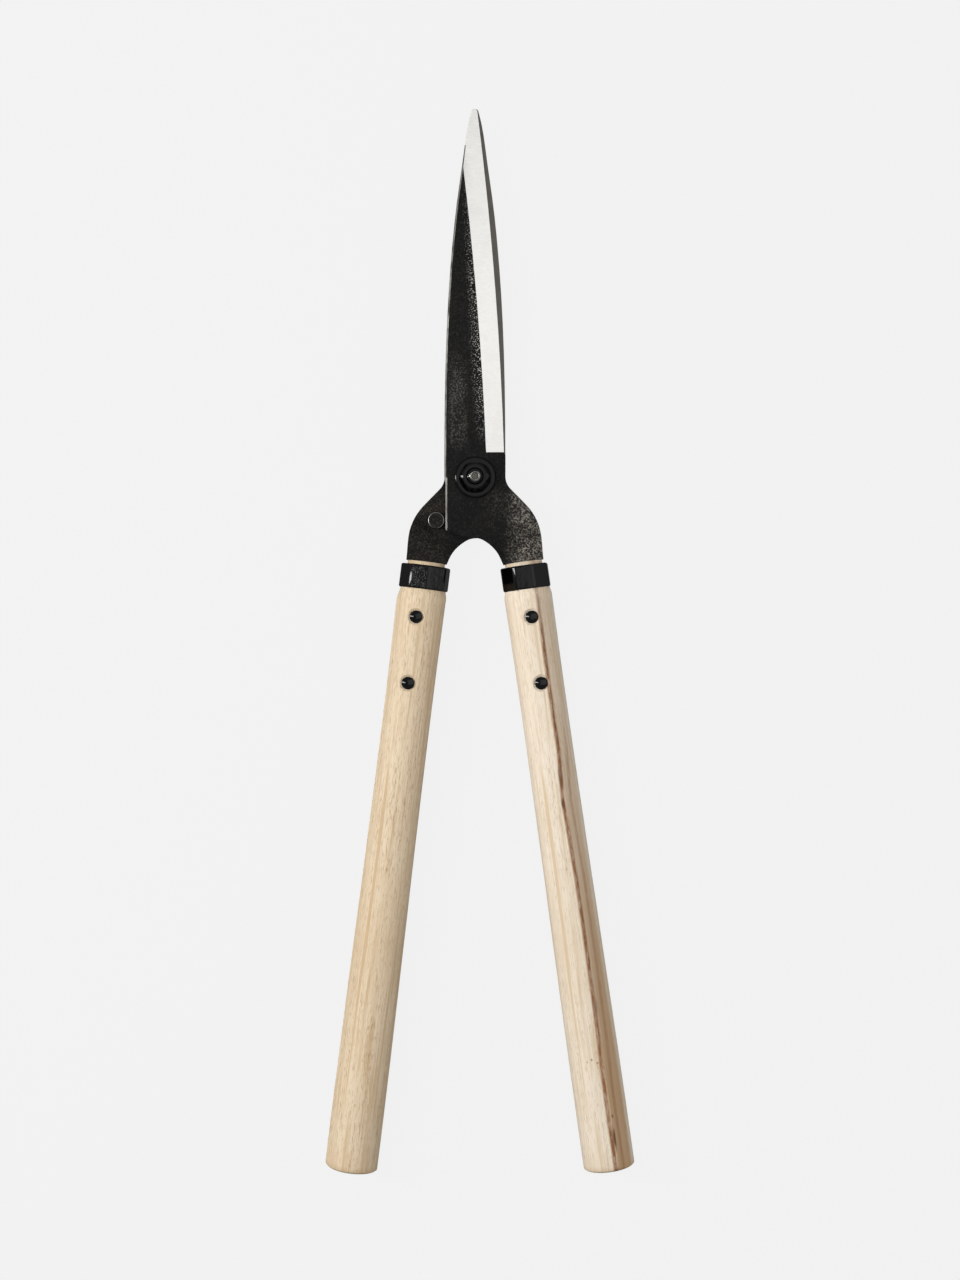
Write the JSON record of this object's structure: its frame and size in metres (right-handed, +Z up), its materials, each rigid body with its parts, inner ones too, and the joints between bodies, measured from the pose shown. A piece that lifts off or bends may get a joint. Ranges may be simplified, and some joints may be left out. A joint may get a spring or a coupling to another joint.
{
  "type": "hedge shears",
  "caption": "Two-handed hedge shears: forged straight blades on one pivot bolt with a stop pin, flat tangs riveted into round oak handles with eight-sided ferrules",
  "frame": {"origin": "middle of the bottom of the bounding box, lying flat on its handles with the nut side up", "axes": "+X across from the left handle to the right handle, +Y from the handle ends to the blade tips, +Z up along the pivot bolt towards the nut"},
  "size_m": [0.165, 0.568, 0.0292],
  "materials": {
    "forged_steel": "forge scale, matte, with a bright ground bevel",
    "black_hardware": "gloss black oxide",
    "bolt_steel": "bright turned steel",
    "white_oak": "bare sanded white oak"
  },
  "bodies": {
    "back_half": {"back_blade": "forged_steel", "pivot_bolt": "bolt_steel", "pivot_washer": "black_hardware", "pivot_nut": "black_hardware", "stop_pin": "forged_steel", "left_handle": "white_oak", "left_ferrule": "black_hardware", "left_rivet_upper": "black_hardware", "left_rivet_lower": "black_hardware"},
    "front_half": {"front_blade": "forged_steel", "right_handle": "white_oak", "right_ferrule": "black_hardware", "right_rivet_upper": "black_hardware", "right_rivet_lower": "black_hardware"}
  },
  "joints": [
    {"name": "pivot", "type": "hinge", "parent": "back_half", "child": "front_half", "pos_m": [-0.0027, 0.08662, 0.01364], "axis": [0, 0, 1], "range_deg": [-1.4, 95]}
  ]
}
